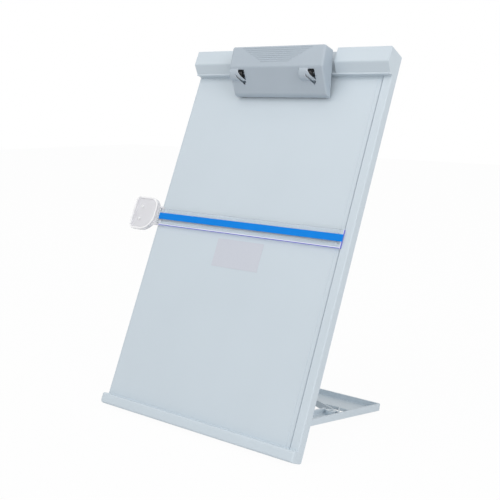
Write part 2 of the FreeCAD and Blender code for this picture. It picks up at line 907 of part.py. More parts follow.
def plain_rod(place, radius, length, axis="Z"):
    piece = doc.addObject("Part::Cylinder", "Rod")
    piece.Placement = FreeCAD.Placement(FreeCAD.Vector(0, 0, 0), TURNS[axis])
    bind(piece, "Radius", radius)
    bind(piece, "Height", length)
    for base, size in zip("xyz", place):
        bind(piece, f"Placement.Base.{base}", size)
    return piece


def make_friction_pad():
    body = new_body("friction_pad")
    inset = d.pinFit
    block(body, (inset - halfBoard, d.wallThick - inset - halfBoard),
          (d.webBottom + d.padInset, d.webTop - d.padInset), (boardBack - d.padThick, boardBack))
    on_board(body)
    return body


def make_guide_hinge_pin():
    body = new_body("guide_hinge_pin")
    low = lug_spans()[1][0]
    rod(body, (hingeAcross, low, d.hingeRise), d.hingePinRadius, d.jawTop - low, "Y")
    on_board(body)
    return body


def barrel_span():
    return (lug_spans()[1][1] + d.sideGap, lug_spans()[0][0] - d.sideGap)


def strip_level():
    low = d.rimRise + d.stripLift
    return (low, low + d.stripThick)


def make_guide_strip():
    body = new_body("guide_strip")
    barrel = barrel_span()
    level = strip_level()
    block(body, (hingeAcross + d.notchWide, halfBoard - d.stripEndInset), (d.stripBottom, d.stripTop), level)
    block(body, (hingeAcross, hingeAcross + d.notchWide), barrel, level)
    rod(body, (hingeAcross, barrel[0], d.hingeRise), d.barrelRadius, barrel[1] - barrel[0], "Y")
    rod(body, (hingeAcross, barrel[0] - d.overrun, d.hingeRise), d.hingePinRadius + d.pinFit,
        barrel[1] - barrel[0] + d.overrun * 2, "Y", removes=True)
    on_board(body)
    return body


def make_blue_line():
    body = new_body("blue_line")
    top = strip_level()[1]
    block(body, (hingeAcross + d.barrelRadius, halfBoard - d.stripEndInset), (d.blueBottom, d.blueTop),
          (top, top + d.blueThick))
    on_board(body)
    return body


flangeStart = d.standLong - d.flangeWide
armEnd = flangeStart - d.armEndGap
armIn = halfStand - d.armWide


def stand_floor_outline():
    wall_in = halfStand - d.standWall
    right = [
        (halfStand, d.standLong),
        (halfStand, d.standStart),
        (armIn, d.standStart),
        (armIn, armEnd),
        (wall_in, armEnd),
        (wall_in, flangeStart),
    ]
    left = [(-across, along) for across, along in reversed(right)]
    return right + left


def stand_wall_outline():
    wall_in = halfStand - d.standWall
    right = [
        (halfStand, d.standLong),
        (halfStand, d.standStart),
        (wall_in, d.standStart),
        (wall_in, d.standLong - d.standWall),
    ]
    left = [(-across, along) for across, along in reversed(right)]
    return right + left


def bar_outline(start, end, thick):
    # A straight bar of the given thickness along X, wide across Y by its slope
    return [start, (start[0], start[1] + thick), (end[0], end[1] + thick), end]


def stand_braces(side):
    # The long brace and the short strut between the flange and the arm, as start and end points
    wall_in = halfStand - d.standWall
    end = flangeStart - d.braceReach
    brace = ((halfStand - d.braceRun) * side, (wall_in + d.braceBite) * side)
    strut = ((halfStand - d.strutStart) * side, (halfStand - d.strutEnd) * side)
    return [((near_flange, flangeStart), (near_arm, end)) for near_flange, near_arm in (brace, strut)]


def make_stand_frame():
    body = new_body("stand_frame")
    below = -d.standBelow
    pad(body, outline(body, "XY_Plane", stand_floor_outline(), below), d.standFloor)
    pad(body, outline(body, "XY_Plane", stand_wall_outline(), below), d.standTopRear + d.standBelow)
    rib_high = d.ribTop + d.standBelow
    rib = (armIn, armIn + d.ribThick)
    for side, span in ((1, rib), (-1, mirrored(rib))):
        block(body, span, (d.standStart, armEnd), (below, d.ribTop))
        for start, end in stand_braces(side):
            points = bar_outline(start, end, d.ribThick)
            pad(body, outline(body, "XY_Plane", points, below), rib_high)
        boss = ((halfStand - d.bossInset) * side, flangeStart - d.bossGap)
        rod(body, (boss[0], boss[1], below), d.bossRadius, rib_high, "Z")
        under = (boss[0], boss[1], below - d.overrun)
        rod(body, under, d.bossHole, rib_high + d.overrun * 2, "Z", removes=True)
    lip = (flangeStart - d.ribThick / 2, flangeStart + d.ribThick / 2)
    inner = (d.standWall - halfStand, halfStand - d.standWall)
    block(body, inner, lip, (below, d.standFloor + d.ribThick / 2 - d.standBelow))
    taper = [
        (d.standStart - d.overrun, d.standTopFront),
        (d.standLong + d.overrun, d.standTopRear),
        (d.standLong + d.overrun, d.standTopRear + d.overrun),
        (d.standStart - d.overrun, d.standTopRear + d.overrun),
    ]
    cut(body, outline(body, "YZ_Plane", taper), halfStand * 2 + d.overrun, middle=True)
    for span in ((knuckleIn, knuckleOut), mirrored((knuckleIn, knuckleOut))):
        rod(body, (span[0], ZERO, ZERO), d.knuckleRadius, d.knuckleWide, "X")
        block(body, span, (ZERO, d.standStart + d.standWall), (-d.knuckleRadius, ZERO))
        rod(body, (span[0] - d.pinFit, ZERO, ZERO), d.pinRadius + d.pinFit,
            d.knuckleWide + d.pinFit * 2, "X", removes=True)
    round_edges(body, d.cornerRound, lambda middle, way: (
        near(abs(middle.x), halfStand) and near(middle.y, d.standLong)
        and abs(way.z) > d.standFloor.number))
    on_stand(body)
    return body


def make_stand_foot(label, side):
    body = new_body(label)
    slope = tangent(standTilt)
    rear = footAlong + d.footHalf
    front = footAlong - d.footHalf
    points = [
        (front, -d.standBelow),
        (rear, -d.standBelow),
        (rear, slope * d.footHalf - d.footDrop),
        (front, -slope * d.footHalf - d.footDrop),
    ]
    offset = (halfStand - d.footInset) * side - d.footWide / 2
    pad(body, outline(body, "YZ_Plane", points, offset), d.footWide)
    on_stand(body)
    return body


def make_stand_pin(label, side):
    body = new_body(label)
    span = (inner_ear()[0], outer_ear()[1])
    head = (span[1], span[1] + d.standPinHeadThick)
    if side < 0:
        span = mirrored(span)
        head = mirrored(head)
    rod(body, (span[0], d.standHingeUp, -d.standHingeDeep), d.pinRadius, span[1] - span[0], "X")
    rod(body, (head[0], d.standHingeUp, -d.standHingeDeep), d.standPinHead, d.standPinHeadThick, "X")
    on_board(body)
    return body


def make_stand_washers(label, side):
    pair = doc.addObject("Part::Compound", label)
    pair.Label = label
    washers = []
    for start in (inner_ear()[1] + d.washerPlay, knuckleOut + d.washerPlay):
        span = (start, start + d.washerThick)
        if side < 0:
            span = mirrored(span)
        disc = plain_rod((span[0], d.standHingeUp, -d.standHingeDeep), d.washerRadius, d.washerThick, "X")
        bore = plain_rod((span[0] - d.overrun, d.standHingeUp, -d.standHingeDeep), d.pinRadius + d.pinFit,
                         d.washerThick + d.overrun * 2, "X")
        washer = doc.addObject("Part::Cut", "Washer")
        washer.Base = disc
        washer.Tool = bore
        washers.append(washer)
    pair.Links = washers
    on_board(pair)
    return pair


def make_all():
    return [
        make_backboard(),
        make_label(),
        make_clip(),
        make_jaw_pad(),
        make_clip_pin("clip_pin_left", leftHood),
        make_clip_pin("clip_pin_right", rightHood),
        make_clip_spring("clip_spring_left", leftHood),
        make_clip_spring("clip_spring_right", rightHood),
        make_slider_front(),
        make_slider_back(),
        make_slider_rivets(),
        make_friction_pad(),
        make_guide_hinge_pin(),
        make_guide_strip(),
        make_blue_line(),
        make_stand_frame(),
        make_stand_foot("stand_foot_right", 1),
        make_stand_foot("stand_foot_left", -1),
        make_stand_pin("stand_hinge_pin_right", 1),
        make_stand_pin("stand_hinge_pin_left", -1),
        make_stand_washers("stand_washers_right", 1),
        make_stand_washers("stand_washers_left", -1),
    ]


def check(pieces):
    for item in doc.Objects:
        assert "Invalid" not in item.State and "Error" not in item.State, f"{item.Label}: {item.State}"
    for piece in pieces:
        assert not piece.Shape.isNull() and piece.Shape.isValid(), f"{piece.Label}: bad shape"


def write(pieces):
    os.makedirs("parts", exist_ok=True)
    for piece in pieces:
        piece.Shape.exportStep(f"parts/{piece.Label}.step")
        box = piece.Shape.BoundBox
        low = f"{box.XMin:.1f} {box.YMin:.1f} {box.ZMin:.2f}"
        high = f"{box.XMax:.1f} {box.YMax:.1f} {box.ZMax:.1f}"
        solids = len(piece.Shape.Solids)
        print(f"{piece.Label}: {solids} solid, {piece.Shape.Volume:.0f} mm3, {low} to {high}")


pieces = make_all()
doc.recompute()
check(pieces)
write(pieces)
print(f"stand tilt {standTilt.number:.2f}, stand hinge y {hingeForward.number:.2f} z {hingeLift.number:.2f}")
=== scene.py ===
import bpy
import bmesh
import math
from mathutils import Matrix, Vector, geometry


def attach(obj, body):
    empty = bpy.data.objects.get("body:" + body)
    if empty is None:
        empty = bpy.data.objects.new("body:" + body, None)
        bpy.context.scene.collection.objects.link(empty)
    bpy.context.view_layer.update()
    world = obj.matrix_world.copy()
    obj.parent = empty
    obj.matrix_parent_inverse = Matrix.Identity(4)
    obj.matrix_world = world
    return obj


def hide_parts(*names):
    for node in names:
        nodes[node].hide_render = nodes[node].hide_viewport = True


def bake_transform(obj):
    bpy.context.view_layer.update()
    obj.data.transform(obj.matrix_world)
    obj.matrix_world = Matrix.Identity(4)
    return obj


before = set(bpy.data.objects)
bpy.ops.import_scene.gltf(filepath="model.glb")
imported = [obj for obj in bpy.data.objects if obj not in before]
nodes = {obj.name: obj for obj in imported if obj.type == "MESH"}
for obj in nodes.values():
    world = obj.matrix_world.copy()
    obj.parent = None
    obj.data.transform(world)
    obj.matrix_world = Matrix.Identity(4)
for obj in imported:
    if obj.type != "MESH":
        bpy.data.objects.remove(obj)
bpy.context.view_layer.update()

# Desktop copy holder with a line guide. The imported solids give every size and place, and this
# script dresses them: rounded copies of the mouldings, grip ribs, springs, materials and light.
mm = 0.001

# The board leans back. Its own axes: x across from the middle, u up the face, w out of the face.
lean = {
    "angle": 24.3,
    "forward": -7.4097,
    "lift": 2.8036,
}
leanSine = math.sin(math.radians(lean["angle"]))
leanCosine = math.cos(math.radians(lean["angle"]))
boardOrigin = Vector((0, lean["forward"], lean["lift"]))
upAxis = Vector((0, leanSine, leanCosine))
outAxis = Vector((0, -leanCosine, leanSine))


def fromBoard(x, u, w):
    # Millimetres on the board's axes to a point of the scene
    return (boardOrigin + Vector((x, 0, 0)) + upAxis * u + outAxis * w) * mm


def toBoard(point):
    # A point of the scene to millimetres on the board's axes
    moved = point / mm - boardOrigin
    return moved.x, moved.dot(upAxis), moved.dot(outAxis)


def toLinear(hexColour):
    parts = [int(hexColour[i:i + 2], 16) / 255 for i in (1, 3, 5)]
    return [p / 12.92 if p <= 0.04045 else ((p + 0.055) / 1.055) ** 2.4 for p in parts] + [1.0]


def addNode(tree, kind, inputs=None, **settings):
    node = tree.nodes.new(kind)
    for name, value in settings.items():
        setattr(node, name, value)
    for name, value in (inputs or {}).items():
        if isinstance(value, bpy.types.NodeSocket):
            tree.links.new(value, node.inputs[name])
        else:
            node.inputs[name].default_value = value
    return node


def startMaterial(name):
    material = bpy.data.materials.new(name)
    material.use_nodes = True
    tree = material.node_tree
    tree.nodes.clear()
    place = addNode(tree, "ShaderNodeTexCoord").outputs["Object"]
    return material, tree, place


def endMaterial(tree, shader):
    addNode(tree, "ShaderNodeOutputMaterial", {"Surface": shader.outputs["BSDF"]})


def noise(tree, place, size, **rest):
    # Noise with features of that many millimetres
    inputs = {"Vector": place, "Scale": 1 / (size * mm)}
    inputs.update((name.title(), value) for name, value in rest.items())
    return addNode(tree, "ShaderNodeTexNoise", inputs).outputs["Fac"]


def twoTone(tree, share, look):
    # From the look's dark colour to its light one
    return addNode(tree, "ShaderNodeMix", {
        "Factor": share, "A": toLinear(look["dark"]), "B": toLinear(look["light"])},
        data_type="RGBA").outputs["Result"]


def spread(tree, share, look, fromLow=0.3, fromHigh=0.7):
    # Roughness from the look's smooth value to its rough one
    return addNode(tree, "ShaderNodeMapRange", {
        "Value": share, "From Min": fromLow, "From Max": fromHigh,
        "To Min": look["smooth"], "To Max": look["rough"]}).outputs["Result"]


def relief(tree, height, look):
    return addNode(tree, "ShaderNodeBump", {
        "Height": height, "Strength": look["strength"],
        "Distance": look["deep"] * mm}).outputs["Normal"]


def mouldedPlastic(name, look):
    # Opaque moulded plastic: spark-eroded grain, slow flow shading and a few rubbed patches
    material, tree, place = startMaterial(name)
    flow = noise(tree, place, look["flow"], detail=2.0, roughness=0.5)
    grain = noise(tree, place, look["grain"], detail=3.0, roughness=0.6)
    rubbed = noise(tree, place, look["rubbed"], detail=4.0, roughness=0.65)
    shader = addNode(tree, "ShaderNodeBsdfPrincipled", {
        "Base Color": twoTone(tree, flow, look), "Roughness": spread(tree, rubbed, look, fromLow=0.35),
        "Normal": relief(tree, grain, look), "IOR": look["ior"]})
    endMaterial(tree, shader)
    return material


boardLook = {
    "dark": "#C9D4DC", "light": "#CFDAE2", "flow": 90, "grain": 0.9, "rubbed": 35,
    "smooth": 0.42, "rough": 0.5, "strength": 0.25, "deep": 0.05, "ior": 1.57,
}
clipLook = {
    "dark": "#AFBAC4", "light": "#B5C0CA", "flow": 60, "grain": 0.8, "rubbed": 22,
    "smooth": 0.36, "rough": 0.45, "strength": 0.2, "deep": 0.04, "ior": 1.53,
}
# High-impact polystyrene with a fine eroded texture: a satin cool grey that keeps a soft sheen
boardPlastic = mouldedPlastic("satinPolystyrene", boardLook)
# ABS of the clip, a shade darker and a little glossier than the board
clipPlastic = mouldedPlastic("satinAbs", clipLook)
lipHighlightLook = dict(clipLook, dark="#DCE3EA", light="#E2E9F0", smooth=0.25, rough=0.32, strength=0.05)
# The same ABS, lighter and smoother, on the lips of the two spring openings: the lighter colour is a
# painted highlight
lipHighlightPlastic = mouldedPlastic("absPaintedLipHighlight", lipHighlightLook)


def edgeGlow(tree, place, way, start, width):
    # 1 from a distance along a direction of the board onwards, fading in over the width
    along = addNode(tree, "ShaderNodeVectorMath", {0: place, 1: way}, operation="DOT_PRODUCT")
    return addNode(tree, "ShaderNodeMapRange", {
        "Value": along.outputs["Value"], "From Min": start - width * mm, "From Max": start}).outputs[0]


def clearPlastic(name, look, edges=()):
    # Clear plastic with moulded waviness: tinted, slightly hazy, letting light through to what is
    # behind. Light gathers at its cut edges: first a pale band, then a coloured line.
    material, tree, place = startMaterial(name)
    wave = noise(tree, place, look["wave"], detail=1.5)
    shader = addNode(tree, "ShaderNodeBsdfPrincipled", {
        "Base Color": toLinear(look["tint"]), "Roughness": spread(tree, wave, look),
        "Normal": relief(tree, wave, look), "IOR": look["ior"], "Transmission Weight": look["clear"]})
    for way, reach in edges:
        for colour in ("pale", "line"):
            glow = edgeGlow(tree, place, way, reach - look[colour + "Band"] * mm, look[colour + "Fade"])
            tint = addNode(tree, "ShaderNodeMix", {
                "Factor": glow, "B": toLinear(look[colour])}, data_type="RGBA")
            clear = addNode(tree, "ShaderNodeMix", {"Factor": glow, "B": look[colour + "Clear"]})
            for node, socket in ((tint, "Base Color"), (clear, "Transmission Weight")):
                given = shader.inputs[socket]
                if given.links:
                    tree.links.new(given.links[0].from_socket, node.inputs["A"])
                else:
                    node.inputs["A"].default_value = given.default_value
            tree.links.new(tint.outputs["Result"], shader.inputs["Base Color"])
            tree.links.new(clear.outputs["Result"], shader.inputs["Transmission Weight"])
    rays = addNode(tree, "ShaderNodeLightPath").outputs
    through = addNode(tree, "ShaderNodeBsdfTransparent", {"Color": toLinear(look["tint"])})
    mixed = addNode(tree, "ShaderNodeMixShader", {
        "Fac": rays["Is Shadow Ray"], 1: shader.outputs["BSDF"], 2: through.outputs["BSDF"]})
    addNode(tree, "ShaderNodeOutputMaterial", {"Surface": mixed.outputs["Shader"]})
    return material


knobLook = {
    "tint": "#EFEFF2", "wave": 9, "smooth": 0.06, "rough": 0.14, "strength": 0.15, "deep": 0.2,
    "ior": 1.57, "clear": 0.3,
}
knobRimHighlightLook = dict(knobLook, tint="#FDFDFE", clear=0.1)
stripLook = {
    "tint": "#F3F6F9", "wave": 25, "smooth": 0.02, "rough": 0.06, "strength": 0.08, "deep": 0.1,
    "ior": 1.49, "clear": 0.96, "bottom": 198.2, "right": 111.8,
    "pale": "#EDF1FF", "paleClear": 0.15, "paleBand": 1.3, "paleFade": 0.2,
    "line": "#6C6CD0", "lineClear": 0.0, "lineBand": 0.55, "lineFade": 0.05,
}
# Clear general-purpose polystyrene, moulded: milky where it is thick
knobPlastic = clearPlastic("clearPolystyrene", knobLook)
# The knob's raised rim, the same polystyrene made whiter and less clear: a painted highlight
rimHighlightPlastic = clearPlastic("polystyrenePaintedRimHighlight", knobRimHighlightLook)
# The strip's lower edge and right end, each as the way it faces and how far out it lies
stripEdges = [
    (-upAxis, -boardOrigin.dot(upAxis) * mm - stripLook["bottom"] * mm),
    (Vector((1, 0, 0)), stripLook["right"] * mm),
]
# Clear extruded acrylic: glossy, with long faint draw waves and edges that shine violet-blue
stripPlastic = clearPlastic("clearAcrylic", stripLook, stripEdges)


def metalFinish(name, look):
    # Drawn or stamped metal: fine marks of a set size in its sheen
    material, tree, place = startMaterial(name)
    marks = noise(tree, place, look["marks"], detail=4.0, roughness=0.7)
    shader = addNode(tree, "ShaderNodeBsdfPrincipled", {
        "Base Color": twoTone(tree, marks, look), "Roughness": spread(tree, marks, look),
        "Normal": relief(tree, marks, look), "Metallic": 1.0})
    endMaterial(tree, shader)
    return material


# Drawn steel wire of the pins, dull silver
pinSteel = metalFinish("drawnSteel", {
    "dark": "#A9ABAD", "light": "#C6C8CA", "marks": 0.8, "smooth": 0.25, "rough": 0.42,
    "strength": 0.3, "deep": 0.02})
# Oil-tempered spring steel, near black with a brown-grey sheen
springSteel = metalFinish("oilTemperedSteel", {
    "dark": "#4B4A4B", "light": "#6A6968", "marks": 0.7, "smooth": 0.28, "rough": 0.45,
    "strength": 0.3, "deep": 0.02})
# Polished aluminium rivet heads
rivetMetal = metalFinish("polishedAluminium", {
    "dark": "#DADCDE", "light": "#F0F1F2", "marks": 0.6, "smooth": 0.12, "rough": 0.25,
    "strength": 0.3, "deep": 0.01})


def flatFilm(name, look):
    # Printed film: even ink with a fine print grain
    material, tree, place = startMaterial(name)
    ink = noise(tree, place, look["print"], detail=2.0, roughness=0.7)
    shader = addNode(tree, "ShaderNodeBsdfPrincipled", {
        "Base Color": twoTone(tree, ink, look), "Roughness": spread(tree, ink, look, 0.0, 1.0),
        "IOR": look["ior"], "Specular IOR Level": look["shine"]})
    endMaterial(tree, shader)
    return material


# Screen-printed polyester label, plain lilac grey
labelFilm = flatFilm("printedPolyester", {
    "dark": "#C8CCD6", "light": "#CFD3DC", "print": 1.2, "smooth": 0.35, "rough": 0.5,
    "ior": 1.5, "shine": 0.5})
# Blue line of the guide, hot-stamped from a satin foil with little shine
blueFilm = flatFilm("hotStampedBlue", {
    "dark": "#0A80E0", "light": "#1088E8", "print": 6, "smooth": 0.4, "rough": 0.5,
    "ior": 1.5, "shine": 0.1})


def rubberFinish(name, look):
    # Moulded rubber: matt, finely pitted
    material, tree, place = startMaterial(name)
    pits = noise(tree, place, look["pits"], detail=3.0)
    shader = addNode(tree, "ShaderNodeBsdfPrincipled", {
        "Base Color": twoTone(tree, pits, look), "Roughness": look["rough"],
        "Normal": relief(tree, pits, look), "IOR": look["ior"]})
    endMaterial(tree, shader)
    return material


# Soft grey rubber of the feet and pads
softRubber = rubberFinish("softRubber", {
    "dark": "#747B82", "light": "#7E858C", "pits": 0.9, "rough": 0.8, "strength": 0.4, "deep": 0.05,
    "ior": 1.52})
print("materials made")


def finishPiece(piece, material, body=None, stands=(), trim=None):
    # Last steps of every piece: its materials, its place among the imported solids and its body
    piece.data.materials.clear()
    piece.data.materials.append(material)
    if trim:
        piece.data.materials.append(trim[0])
        for face in piece.data.polygons:
            face.material_index = int(trim[1](Vector(toBoard(face.center)), face.normal))
    if stands:
        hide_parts(*stands)
    if body:
        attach(piece, body)


def newPiece(name, mesh):
    piece = bpy.data.objects.new(name, mesh)
    bpy.context.scene.collection.objects.link(piece)
    return piece


def applyModifiers(piece):
    graph = bpy.context.evaluated_depsgraph_get()
    mesh = bpy.data.meshes.new_from_object(piece.evaluated_get(graph))
    piece.modifiers.clear()
    piece.data = mesh
    mesh.name = piece.name


meshing = {
    # angles in degrees: faces joined into one, faces of one plane, sharp edges, corners smoothed
    # together, sharp edges of a spring's wire
    "joined": 0.6, "plane": 0.3, "sharp": 28, "smoothed": 32, "wire": 50,
    # metres: corners merged, slivers dropped, and millimetres: points of a flat region taken as one
    "merged": 1e-6, "sliver": 1e-5, "samePoint": 0.0001,
    # shares that a round may take of the face and edges beside it, and of a gap between two rounds
    "ofFace": 0.4, "ofEdge": 0.45, "ofGap": 0.9,
    # share of an edge at each of its ends where it isn't cut
    "nearEnd": 0.05,
    # cosines: edges that run alongside, and sides that face each other
    "alongside": 0.8, "opposite": -0.5,
}


def mergedCopy(node):
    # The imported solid's triangles joined up, with flat faces made whole again
    solid = bmesh.new()
    solid.from_mesh(nodes[node].data)
    bmesh.ops.remove_doubles(solid, verts=solid.verts, dist=meshing["merged"])
    bmesh.ops.dissolve_limit(
        solid, angle_limit=math.radians(meshing["joined"]), verts=solid.verts, edges=solid.edges)
    bmesh.ops.dissolve_degenerate(solid, edges=solid.edges, dist=meshing["sliver"])
    return solid


def roomBeside(edge):
    # The widest round that the faces and edges beside an edge leave room for
    length = edge.calc_length()
    room = min(face.calc_area() for face in edge.link_faces) / length * meshing["ofFace"]
    along = (edge.verts[1].co - edge.verts[0].co) / length
    for corner in edge.verts:
        for other in corner.link_edges:
            reach = other.calc_length()
            run = abs((other.verts[1].co - other.verts[0].co).dot(along))
            if other != edge and run < reach * meshing["alongside"]:
                room = min(room, reach * meshing["ofEdge"])
    return room


def gapTo(point, start, end):
    # Distance from a point to the stretch between two others
    nearest, share = geometry.intersect_point_line(point, start, end)
    nearest = start if share < 0 else end if share > 1 else nearest
    return (point - nearest).length


def partRounds(solid, wanted):
    # Rounds that would meet across a narrow face are both made smaller
    for face in solid.faces:
        sides = []
        for loop in face.loops:
            if loop.edge in wanted:
                start, end = loop.vert.co, loop.link_loop_next.vert.co
                sides.append((loop.edge, start, end, face.normal.cross(end - start).normalized()))
        for number, (edge, start, end, inward) in enumerate(sides):
            for other, begin, finish, facing in sides[number + 1:]:
                across = (begin + finish - start - end).dot(inward)
                if inward.dot(facing) > meshing["opposite"] or across < 0:
                    continue
                if set(edge.verts) & set(other.verts):
                    continue
                gap = min(gapTo(start, begin, finish), gapTo(end, begin, finish),
                          gapTo(begin, start, end), gapTo(finish, start, end))
                share = gap / mm * meshing["ofGap"] / (wanted[edge] + wanted[other])
                if share < 1:
                    wanted[edge] *= share
                    wanted[other] *= share


def flatRegions(solid):
    # Groups of faces that touch and lie in one plane
    solid.faces.index_update()
    same = math.cos(math.radians(meshing["plane"]))
    seen, regions = set(), []
    for first in solid.faces:
        if first.index in seen:
            continue
        seen.add(first.index)
        region, reach = [], [first]
        while reach:
            face = reach.pop()
            region.append(face)
            for other in (near for edge in face.edges for near in edge.link_faces):
                if other.index not in seen and abs(other.normal.dot(first.normal)) > same:
                    seen.add(other.index)
                    reach.append(other)
        regions.append(region)
    return regions


def insideRim(point, segments):
    # Even-odd test of a flat point against the region's outlines
    crossings = 0
    for start, end in segments:
        if (start.y > point.y) != (end.y > point.y):
            share = (point.y - start.y) / (end.y - start.y)
            crossings += point.x < start.x + share * (end.x - start.x)
    return crossings % 2 == 1


def layRegion(solid, region, area):
    # Fresh triangles between the outlines of one flat region, holes left open
    inside = set(region)
    rim, inner = [], []
    for edge in dict.fromkeys(edge for face in region for edge in face.edges):
        shared = sum(face in inside for face in edge.link_faces)
        (rim if shared == 1 else inner).append(edge)
    lead = max(region, key=lambda face: face.calc_area())
    total = sum(face.calc_area() for face in region)
    turn = lead.normal.to_track_quat("Z", "Y").to_matrix()
    corners = list(dict.fromkeys(corner for edge in rim for corner in edge.verts))
    origin = corners[0].co.copy()
    number = {corner: index for index, corner in enumerate(corners)}
    flat = [(turn.transposed() @ (corner.co - origin)).to_2d() / mm for corner in corners]
    links = [(number[edge.verts[0]], number[edge.verts[1]]) for edge in rim]
    # this kind of output holds the triangles inside the outer rim, those over holes too
    withinRim = 1
    points, _, triangles, sources, _, _ = geometry.delaunay_2d_cdt(
        flat, links, [], withinRim, meshing["samePoint"])
    segments = [(flat[start], flat[end]) for start, end in links]
    bmesh.ops.delete(solid, geom=region, context="FACES_ONLY")
    bmesh.ops.delete(solid, geom=inner, context="EDGES")
    made = []
    for point, source in zip(points, sources):
        made.append(corners[source[0]] if source else
                    solid.verts.new(origin + turn @ (point * mm).to_3d()))
    for triangle in triangles:
        centre = sum((points[index] for index in triangle), Vector((0, 0))) / 3
        if insideRim(centre, segments):
            face = solid.faces.new([made[index] for index in triangle])
            face.smooth = True
            face[area] = total


def relayFlats(mesh):
    # Flat faces of more than four sides are laid anew, so that no stray triangle crosses an opening
    solid = bmesh.new()
    solid.from_mesh(mesh)
    area = solid.faces.layers.float.new("regionArea")
    for region in flatRegions(solid):
        if any(len(face.verts) > 4 for face in region):
            layRegion(solid, region, area)
    loose = [corner for corner in solid.verts if not corner.link_faces]
    bmesh.ops.delete(solid, geom=loose, context="VERTS")
    solid.to_mesh(mesh)
    solid.free()


def evenNormals(mesh):
    # Corner normals that follow the largest faces nearby, so that flats stay flat beside their rounds
    around = [[] for corner in mesh.vertices]
    areas = mesh.attributes["regionArea"].data
    for face in mesh.polygons:
        for corner in face.vertices:
            around[corner].append((face.normal.copy(), areas[face.index].value or face.area))
    limit = math.cos(math.radians(meshing["smoothed"]))
    normals = [None] * len(mesh.loops)
    for face in mesh.polygons:
        for loop, corner in zip(face.loop_indices, face.vertices):
            mean = Vector((0, 0, 0))
            for normal, area in around[corner]:
                if normal.dot(face.normal) > limit:
                    mean += normal * area
            normals[loop] = mean.normalized() if mean.length else face.normal
    mesh.normals_split_custom_set(normals)


def cutEdges(solid, axis, value, test):
    # Edges that pass a level are cut there, so that each part has its own round
    for edge in list(solid.edges):
        start, end = (toBoard(corner.co) for corner in edge.verts)
        run = end[axis] - start[axis]
        share = (value - start[axis]) / run if run else 0
        if meshing["nearEnd"] < share < 1 - meshing["nearEnd"] and test(start, end):
            bmesh.utils.edge_split(edge, edge.verts[0], share)


def keepInBox(mesh, low, high):
    # Rounds never reach past the box of the solid they are cut from
    for corner in mesh.vertices:
        corner.co = [min(max(value, least), most) for value, least, most in zip(corner.co, low, high)]


def roundedCopy(node, name, look):
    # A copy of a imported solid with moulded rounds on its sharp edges, wider where look["rounds"] says
    solid = mergedCopy(node)
    for cut in look.get("cuts", []):
        cutEdges(solid, *cut)
    weight = solid.edges.layers.float.new("bevel_weight_edge")
    rounds = look.get("rounds", [])
    widest = max([look["round"]] + [radius for radius, test in rounds])
    chosen = {}
    sharp = math.radians(look.get("sharp", meshing["sharp"]))
    for edge in solid.edges:
        if len(edge.link_faces) != 2 or edge.calc_face_angle() < sharp:
            continue
        ends = [toBoard(corner.co) for corner in edge.verts]
        wanted = next((radius for radius, test in rounds if test(*ends)), look["round"])
        chosen[edge] = min(wanted, roomBeside(edge) / mm)
    partRounds(solid, chosen)
    for edge, radius in chosen.items():
        edge[weight] = radius / widest
    low = [min(corner.co[axis] for corner in solid.verts) for axis in range(3)]
    high = [max(corner.co[axis] for corner in solid.verts) for axis in range(3)]
    mesh = bpy.data.meshes.new(name)
    solid.to_mesh(mesh)
    solid.free()
    piece = newPiece(name, mesh)
    for face in mesh.polygons:
        face.use_smooth = True
    bevel = piece.modifiers.new("rounds", "BEVEL")
    bevel.limit_method = "WEIGHT"
    bevel.width = widest * mm
    bevel.segments = look["steps"]
    bevel.use_clamp_overlap = False
    bevel.miter_outer = "MITER_ARC"
    applyModifiers(piece)
    keepInBox(piece.data, low, high)
    relayFlats(piece.data)
    evenNormals(piece.data)
    return piece


axes = {"across": 0, "up": 1, "out": 2}
boardAt = {
    # millimetres across the board: its sides, what is beside them, the ledge's left end, the groove
    "left": -120, "right": 120, "sides": 119, "ledgeEnd": -122, "groove": 110.9,
    # up it: foot, ledge, header and top
    "foot": 0, "ledgeTop": 10.8, "overLedge": 12, "header": 374, "ridge": 382.6, "top": 399,
    # out of its face: the level where edges are cut, its left edge and the fronts of its parts
    "cut": -1, "leftEdge": -0.8, "rimFront": 1.5, "ledgeFront": 7.4, "topFront": 14.6,
    "ridgeFront": 15.1,
    # how far an edge runs: less than the first is not at all
    "still": 1, "deep": 3, "tall": 50,
}


def level(ends, axis, value, within=0.3):
    # True where both ends of an edge lie at one value on one of the board's axes
    return all(abs(end[axis] - value) < within for end in ends)


def edgeAt(ends, **places):
    # True where both ends of an edge lie at the board's named places
    return all(level(ends, axes[axis], boardAt[place]) for axis, place in places.items())


def runOf(ends, axis):
    return abs(ends[0][axes[axis]] - ends[1][axes[axis]])


def atSides(ends):
    return all(abs(end[0]) > boardAt["sides"] for end in ends)


